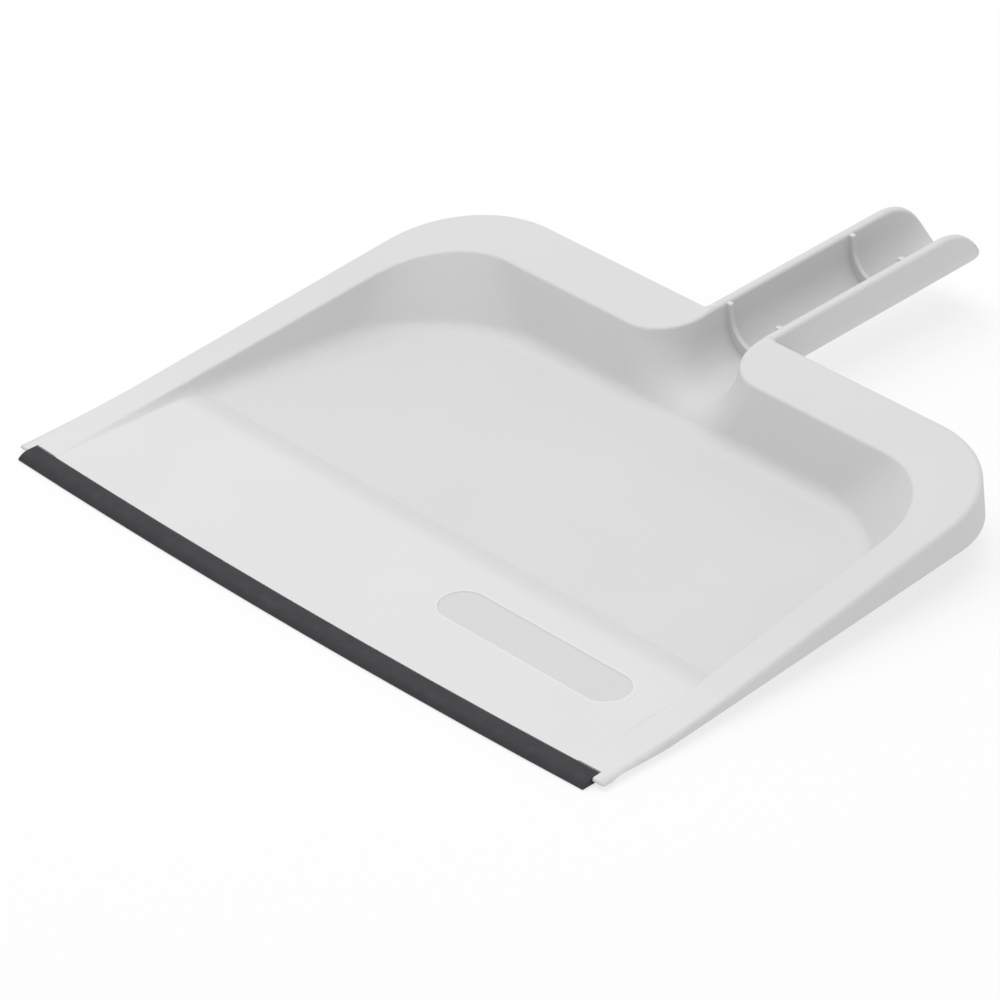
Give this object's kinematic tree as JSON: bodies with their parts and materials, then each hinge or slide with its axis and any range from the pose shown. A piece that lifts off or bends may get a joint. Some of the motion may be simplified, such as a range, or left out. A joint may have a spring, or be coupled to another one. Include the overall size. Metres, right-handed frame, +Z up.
{
  "type": "handheld dustpan",
  "caption": "Handheld dustpan with a wide tapered tray, a ramp behind a bowed rubber lip, a turned-down rim and a trough-shaped handle that leaves the tray through a flared throat.",
  "frame": {"origin": "on the ground, under the middle of the length and of the width, on the flat underside of the tray's floor", "axes": "+X across the pan along the lip, +Y from the lip to the end of the handle, +Z up"},
  "size_m": [0.331, 0.3692, 0.0419],
  "materials": {
    "pan_plastic": "satin",
    "lip_rubber": "matte"
  },
  "bodies": {
    "root": {"pan": "pan_plastic", "rubber_lip": "lip_rubber"}
  },
  "joints": []
}
